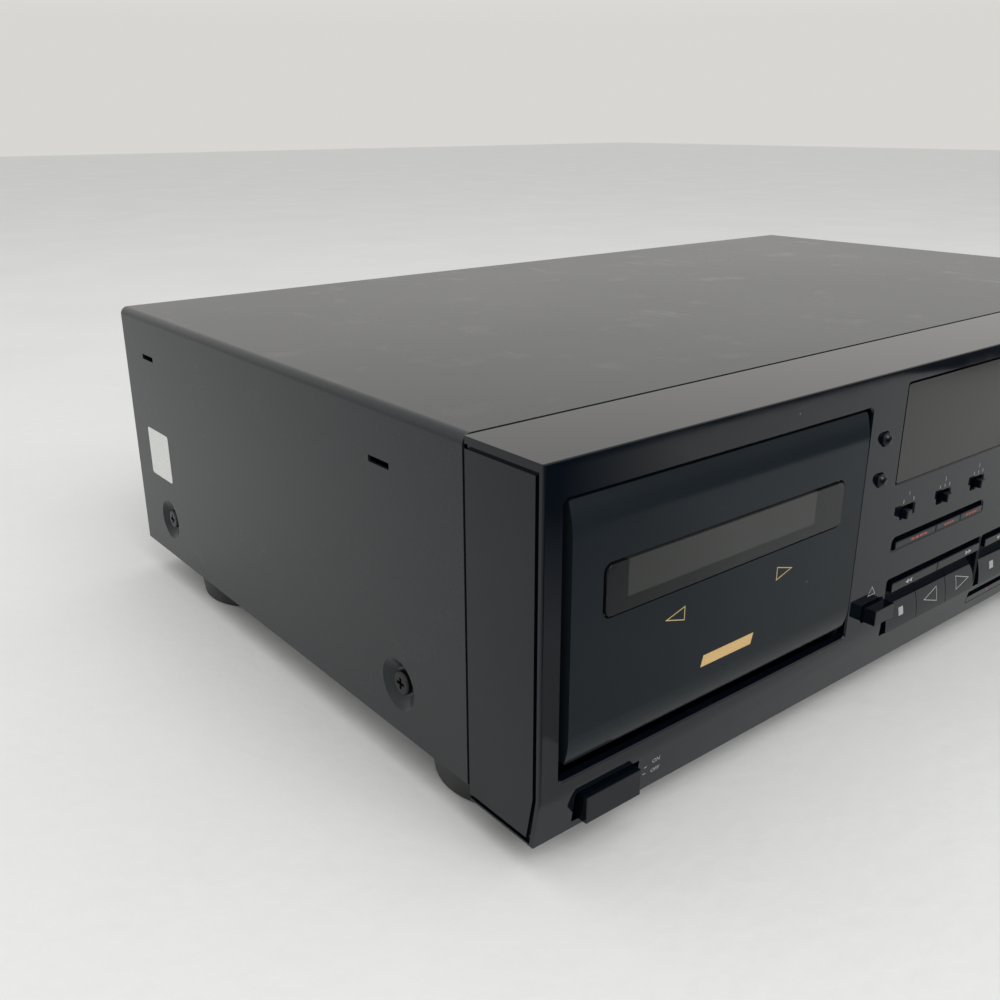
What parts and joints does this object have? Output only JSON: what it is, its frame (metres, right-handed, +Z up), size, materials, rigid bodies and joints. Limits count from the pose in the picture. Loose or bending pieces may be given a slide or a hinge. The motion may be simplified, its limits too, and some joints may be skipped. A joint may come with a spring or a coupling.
{
  "type": "cassette duplicator",
  "caption": "Hi-fi cassette duplicator with twin tilting wells, display window, key groups, copy keys and level dial on round feet.",
  "frame": {"origin": "middle of the footprint at floor level", "axes": "+X to the right seen from the front, +Y to the back, +Z up"},
  "size_m": [0.43, 0.2876, 0.1148],
  "materials": {
    "cover_paint": "satin, fine texture",
    "panel_plastic": "satin gloss",
    "door_plastic": "satin gloss",
    "window_smoke": "smoked clear plastic",
    "lens_smoke": "smoked clear plastic",
    "tube_glass": "glass envelope",
    "zinc_steel": "zinc plated sheet",
    "holder_steel": "blackened sheet",
    "rear_paint": "matt",
    "black_steel": "blackened",
    "foot_plastic": "moulded",
    "jack_plastic": "moulded",
    "bush_rubber": "moulded",
    "board_laminate": "laminate",
    "core_steel": "varnished core",
    "motor_can": "plated can",
    "belt_rubber": "square belt",
    "brass_turned": "turned",
    "flywheel_metal": "turned",
    "spindle_plastic": "moulded",
    "head_metal": "plated",
    "key_plastic": "moulded",
    "dial_plastic": "moulded, fluted"
  },
  "bodies": {
    "deck": {"front_bezel": "panel_plastic", "top_cover": "cover_paint", "cover_screws": "black_steel", "feet": "foot_plastic", "chassis": "zinc_steel", "rear_panel": "rear_paint", "line_jacks": "jack_plastic", "cord_bush": "bush_rubber", "display_lens": "lens_smoke", "display_tube": "tube_glass", "control_board": "board_laminate", "main_board": "board_laminate", "transformer": "core_steel", "phones_jack": "panel_plastic", "capstan_motors": "motor_can", "drive_belts": "belt_rubber", "mech_frame_a": "zinc_steel", "mech_frame_b": "zinc_steel"},
    "door_a": {"door_a": "door_plastic", "door_window_a": "window_smoke", "cassette_holder_a": "holder_steel"},
    "head_base_a": {"head_base_a": "head_metal"},
    "reel_spindle_a_left": {"reel_spindle_a_left": "spindle_plastic"},
    "flywheel_a_left": {"flywheel_a_left": "flywheel_metal"},
    "reel_spindle_a_right": {"reel_spindle_a_right": "spindle_plastic"},
    "flywheel_a_right": {"flywheel_a_right": "flywheel_metal"},
    "motor_pulley_a": {"motor_pulley_a": "brass_turned"},
    "door_b": {"door_b": "door_plastic", "door_window_b": "window_smoke", "cassette_holder_b": "holder_steel"},
    "head_base_b": {"head_base_b": "head_metal"},
    "reel_spindle_b_left": {"reel_spindle_b_left": "spindle_plastic"},
    "flywheel_b_left": {"flywheel_b_left": "flywheel_metal"},
    "reel_spindle_b_right": {"reel_spindle_b_right": "spindle_plastic"},
    "flywheel_b_right": {"flywheel_b_right": "flywheel_metal"},
    "motor_pulley_b": {"motor_pulley_b": "brass_turned"},
    "power_key": {"power_key": "key_plastic"},
    "rewind_key_a": {"rewind_key_a": "key_plastic"},
    "fast_forward_key_a": {"fast_forward_key_a": "key_plastic"},
    "stop_key_a": {"stop_key_a": "key_plastic"},
    "reverse_play_key_a": {"reverse_play_key_a": "key_plastic"},
    "forward_play_key_a": {"forward_play_key_a": "key_plastic"},
    "rewind_key_b": {"rewind_key_b": "key_plastic"},
    "fast_forward_key_b": {"fast_forward_key_b": "key_plastic"},
    "stop_key_b": {"stop_key_b": "key_plastic"},
    "reverse_play_key_b": {"reverse_play_key_b": "key_plastic"},
    "forward_play_key_b": {"forward_play_key_b": "key_plastic"},
    "eject_key_a": {"eject_key_a": "key_plastic"},
    "eject_key_b": {"eject_key_b": "key_plastic"},
    "counter_reset_button": {"counter_reset_button": "key_plastic"},
    "memory_button": {"memory_button": "key_plastic"},
    "copy_key_1": {"copy_key_1": "key_plastic"},
    "copy_key_2": {"copy_key_2": "key_plastic"},
    "copy_key_3": {"copy_key_3": "key_plastic"},
    "record_key": {"record_key": "key_plastic"},
    "pause_key": {"pause_key": "key_plastic"},
    "switch_lever_1": {"switch_lever_1": "key_plastic"},
    "switch_lever_2": {"switch_lever_2": "key_plastic"},
    "switch_lever_3": {"switch_lever_3": "key_plastic"},
    "level_dial": {"level_dial": "dial_plastic"}
  },
  "joints": [
    {"name": "door_a_tilt", "type": "hinge", "parent": "deck", "child": "door_a", "pos_m": [-0.14635, -0.1213, 0.0311], "axis": [1, 0, 0], "range_deg": [0, 27]},
    {"name": "head_base_a_lift", "type": "slide", "parent": "deck", "child": "head_base_a", "axis": [0, 0, 1], "range_m": [0, 0.006], "stiffness_N_per_m": 60, "springref_m": -0.004},
    {"name": "reel_spindle_a_left_spin", "type": "hinge", "parent": "deck", "child": "reel_spindle_a_left", "pos_m": [-0.1676, -0.1061, 0.0729], "axis": [0, 1, 0], "continuous": true},
    {"name": "flywheel_a_left_spin", "type": "hinge", "parent": "deck", "child": "flywheel_a_left", "pos_m": [-0.17035, -0.1008, 0.0452], "axis": [0, 1, 0], "continuous": true},
    {"name": "reel_spindle_a_right_spin", "type": "hinge", "parent": "deck", "child": "reel_spindle_a_right", "pos_m": [-0.1251, -0.1061, 0.0729], "axis": [0, 1, 0], "continuous": true},
    {"name": "flywheel_a_right_spin", "type": "hinge", "parent": "deck", "child": "flywheel_a_right", "pos_m": [-0.12235, -0.1008, 0.0452], "axis": [0, 1, 0], "continuous": true},
    {"name": "motor_pulley_a_spin", "type": "hinge", "parent": "deck", "child": "motor_pulley_a", "pos_m": [-0.10235, -0.1008, 0.0676], "axis": [0, 1, 0], "continuous": true},
    {"name": "door_b_tilt", "type": "hinge", "parent": "deck", "child": "door_b", "pos_m": [0.14635, -0.1213, 0.0311], "axis": [1, 0, 0], "range_deg": [0, 27]},
    {"name": "head_base_b_lift", "type": "slide", "parent": "deck", "child": "head_base_b", "axis": [0, 0, 1], "range_m": [0, 0.006], "stiffness_N_per_m": 60, "springref_m": -0.004},
    {"name": "reel_spindle_b_left_spin", "type": "hinge", "parent": "deck", "child": "reel_spindle_b_left", "pos_m": [0.1251, -0.1061, 0.0729], "axis": [0, 1, 0], "continuous": true},
    {"name": "flywheel_b_left_spin", "type": "hinge", "parent": "deck", "child": "flywheel_b_left", "pos_m": [0.12235, -0.1008, 0.0452], "axis": [0, 1, 0], "continuous": true},
    {"name": "reel_spindle_b_right_spin", "type": "hinge", "parent": "deck", "child": "reel_spindle_b_right", "pos_m": [0.1676, -0.1061, 0.0729], "axis": [0, 1, 0], "continuous": true},
    {"name": "flywheel_b_right_spin", "type": "hinge", "parent": "deck", "child": "flywheel_b_right", "pos_m": [0.17035, -0.1008, 0.0452], "axis": [0, 1, 0], "continuous": true},
    {"name": "motor_pulley_b_spin", "type": "hinge", "parent": "deck", "child": "motor_pulley_b", "pos_m": [0.19035, -0.1008, 0.0676], "axis": [0, 1, 0], "continuous": true},
    {"name": "power_key_press", "type": "slide", "parent": "deck", "child": "power_key", "axis": [0, 1, 0], "range_m": [0, 0.002], "stiffness_N_per_m": 400, "springref_m": -0.001},
    {"name": "rewind_key_a_press", "type": "slide", "parent": "deck", "child": "rewind_key_a", "axis": [0, 1, 0], "range_m": [0, 0.0015], "stiffness_N_per_m": 250, "springref_m": -0.001},
    {"name": "fast_forward_key_a_press", "type": "slide", "parent": "deck", "child": "fast_forward_key_a", "axis": [0, 1, 0], "range_m": [0, 0.0015], "stiffness_N_per_m": 250, "springref_m": -0.001},
    {"name": "stop_key_a_press", "type": "slide", "parent": "deck", "child": "stop_key_a", "axis": [0, 1, 0], "range_m": [0, 0.0015], "stiffness_N_per_m": 250, "springref_m": -0.001},
    {"name": "reverse_play_key_a_press", "type": "slide", "parent": "deck", "child": "reverse_play_key_a", "axis": [0, 1, 0], "range_m": [0, 0.0015], "stiffness_N_per_m": 250, "springref_m": -0.001},
    {"name": "forward_play_key_a_press", "type": "slide", "parent": "deck", "child": "forward_play_key_a", "axis": [0, 1, 0], "range_m": [0, 0.0015], "stiffness_N_per_m": 250, "springref_m": -0.001},
    {"name": "rewind_key_b_press", "type": "slide", "parent": "deck", "child": "rewind_key_b", "axis": [0, 1, 0], "range_m": [0, 0.0015], "stiffness_N_per_m": 250, "springref_m": -0.001},
    {"name": "fast_forward_key_b_press", "type": "slide", "parent": "deck", "child": "fast_forward_key_b", "axis": [0, 1, 0], "range_m": [0, 0.0015], "stiffness_N_per_m": 250, "springref_m": -0.001},
    {"name": "stop_key_b_press", "type": "slide", "parent": "deck", "child": "stop_key_b", "axis": [0, 1, 0], "range_m": [0, 0.0015], "stiffness_N_per_m": 250, "springref_m": -0.001},
    {"name": "reverse_play_key_b_press", "type": "slide", "parent": "deck", "child": "reverse_play_key_b", "axis": [0, 1, 0], "range_m": [0, 0.0015], "stiffness_N_per_m": 250, "springref_m": -0.001},
    {"name": "forward_play_key_b_press", "type": "slide", "parent": "deck", "child": "forward_play_key_b", "axis": [0, 1, 0], "range_m": [0, 0.0015], "stiffness_N_per_m": 250, "springref_m": -0.001},
    {"name": "eject_key_a_press", "type": "slide", "parent": "deck", "child": "eject_key_a", "axis": [0, 1, 0], "range_m": [0, 0.0015], "stiffness_N_per_m": 250, "springref_m": -0.001},
    {"name": "eject_key_b_press", "type": "slide", "parent": "deck", "child": "eject_key_b", "axis": [0, 1, 0], "range_m": [0, 0.0015], "stiffness_N_per_m": 250, "springref_m": -0.001},
    {"name": "counter_reset_button_press", "type": "slide", "parent": "deck", "child": "counter_reset_button", "axis": [0, 1, 0], "range_m": [0, 0.0015], "stiffness_N_per_m": 250, "springref_m": -0.001},
    {"name": "memory_button_press", "type": "slide", "parent": "deck", "child": "memory_button", "axis": [0, 1, 0], "range_m": [0, 0.0015], "stiffness_N_per_m": 250, "springref_m": -0.001},
    {"name": "copy_key_1_press", "type": "slide", "parent": "deck", "child": "copy_key_1", "axis": [0, 1, 0], "range_m": [0, 0.0015], "stiffness_N_per_m": 250, "springref_m": -0.001},
    {"name": "copy_key_2_press", "type": "slide", "parent": "deck", "child": "copy_key_2", "axis": [0, 1, 0], "range_m": [0, 0.0015], "stiffness_N_per_m": 250, "springref_m": -0.001},
    {"name": "copy_key_3_press", "type": "slide", "parent": "deck", "child": "copy_key_3", "axis": [0, 1, 0], "range_m": [0, 0.0015], "stiffness_N_per_m": 250, "springref_m": -0.001},
    {"name": "record_key_press", "type": "slide", "parent": "deck", "child": "record_key", "axis": [0, 1, 0], "range_m": [0, 0.0015], "stiffness_N_per_m": 250, "springref_m": -0.001},
    {"name": "pause_key_press", "type": "slide", "parent": "deck", "child": "pause_key", "axis": [0, 1, 0], "range_m": [0, 0.0015], "stiffness_N_per_m": 250, "springref_m": -0.001},
    {"name": "switch_lever_1_slide", "type": "slide", "parent": "deck", "child": "switch_lever_1", "axis": [1, 0, 0], "range_m": [0, 0.005]},
    {"name": "switch_lever_2_slide", "type": "slide", "parent": "deck", "child": "switch_lever_2", "axis": [1, 0, 0], "range_m": [-0.0025, 0.0025]},
    {"name": "switch_lever_3_slide", "type": "slide", "parent": "deck", "child": "switch_lever_3", "axis": [1, 0, 0], "range_m": [-0.0025, 0.0025]},
    {"name": "level_dial_turn", "type": "hinge", "parent": "deck", "child": "level_dial", "pos_m": [0.052, -0.1278, 0.0591], "axis": [0, 1, 0], "range_deg": [-150, 150]}
  ],
  "couplings": [
    {"joint": "flywheel_a_right_spin", "follows": "flywheel_a_left_spin", "ratio": -1},
    {"joint": "motor_pulley_a_spin", "follows": "flywheel_a_left_spin", "ratio": 3.6122},
    {"joint": "flywheel_b_right_spin", "follows": "flywheel_b_left_spin", "ratio": -1},
    {"joint": "motor_pulley_b_spin", "follows": "flywheel_b_left_spin", "ratio": 3.6122}
  ]
}
